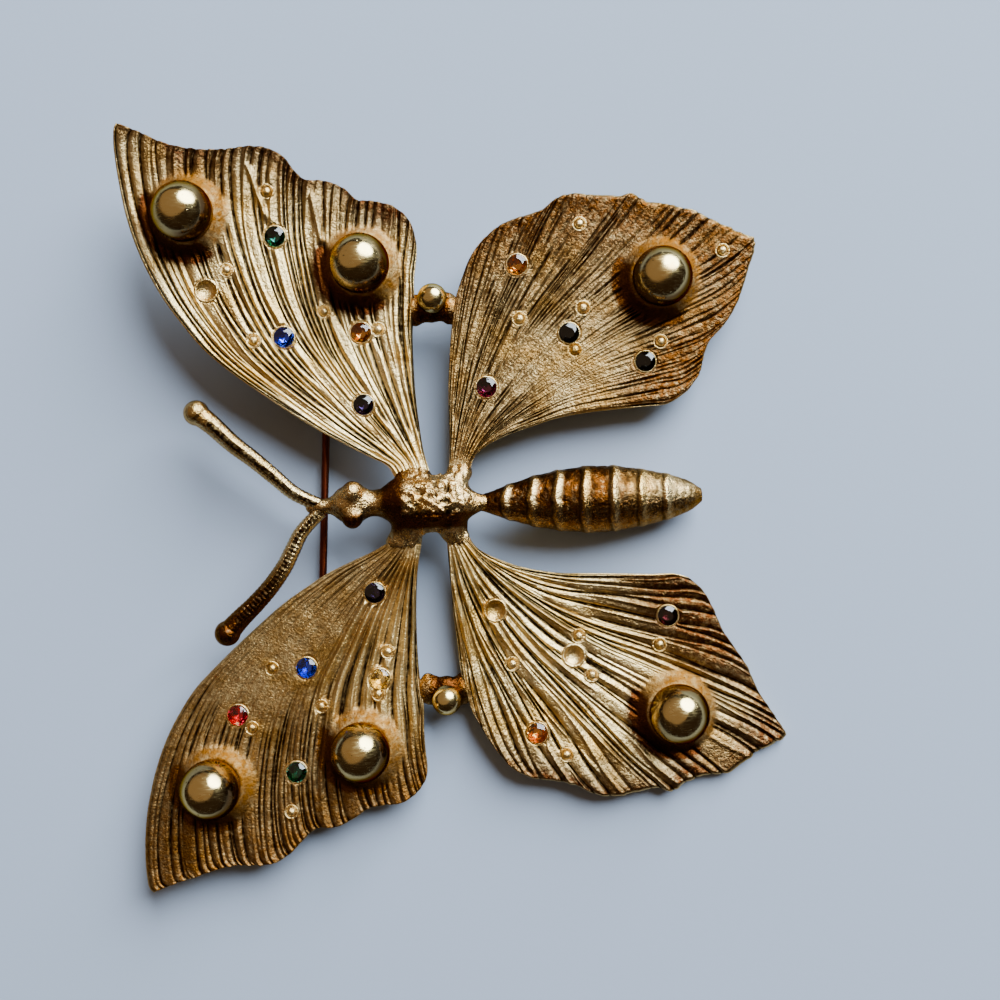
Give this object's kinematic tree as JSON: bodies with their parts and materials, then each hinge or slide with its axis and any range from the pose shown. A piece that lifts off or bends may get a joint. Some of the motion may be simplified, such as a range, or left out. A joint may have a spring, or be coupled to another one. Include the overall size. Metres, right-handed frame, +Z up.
{
  "type": "butterfly brooch",
  "caption": "Cast butterfly brooch with ribbed wings, polished domes, small set stones, and a hinged pin with a hook catch on its back.",
  "frame": {"origin": "on the surface the brooch lies on, under the middle of its outline", "axes": "+X towards the abdomen's tip, +Y towards the butterfly's right wings, +Z up, out of the front face"},
  "size_m": [0.0648, 0.0765, 0.0135],
  "materials": {
    "antique_gold": "antiqued gold plate, satin, dark in the grooves",
    "polished_gold": "polished gold plate",
    "finding_gold": "worn gold plate",
    "coppered_steel": "coppery gilt wire",
    "emerald_glass": "faceted, foiled behind",
    "sapphire_glass": "faceted, foiled behind",
    "topaz_glass": "faceted, foiled behind",
    "amethyst_glass": "faceted, foiled behind",
    "black_glass": "faceted, foiled behind",
    "ruby_glass": "faceted, foiled behind",
    "garnet_glass": "faceted, foiled behind"
  },
  "bodies": {
    "brooch": {"butterfly_casting": "antique_gold", "hinge_bracket": "finding_gold", "pin_catch": "finding_gold", "dome_right_fore_tip": "polished_gold", "dome_right_fore_inner": "polished_gold", "dome_right_hind": "polished_gold", "dome_left_fore_tip": "polished_gold", "dome_left_fore_inner": "polished_gold", "dome_left_hind": "polished_gold", "stone_emerald_right_fore": "emerald_glass", "stone_sapphire_right_fore": "sapphire_glass", "stone_topaz_right_fore": "topaz_glass", "stone_amethyst_right_fore": "amethyst_glass", "stone_topaz_right_hind": "topaz_glass", "stone_jet_right_hind": "black_glass", "stone_onyx_right_hind": "black_glass", "stone_amethyst_right_hind": "amethyst_glass", "stone_amethyst_left_fore": "amethyst_glass", "stone_sapphire_left_fore": "sapphire_glass", "stone_topaz_left_fore": "topaz_glass", "stone_ruby_left_fore": "ruby_glass", "stone_emerald_left_fore": "emerald_glass", "stone_topaz_left_hind": "topaz_glass", "stone_garnet_left_hind": "garnet_glass"},
    "pin_stem": {"pin_stem": "coppered_steel"}
  },
  "joints": [
    {"name": "pin_swing", "type": "hinge", "parent": "brooch", "child": "pin_stem", "pos_m": [-0.01299, 0.01525, 0.0014], "axis": [0.9968, -0.0523, -0.0603], "range_deg": [0, 110]}
  ]
}
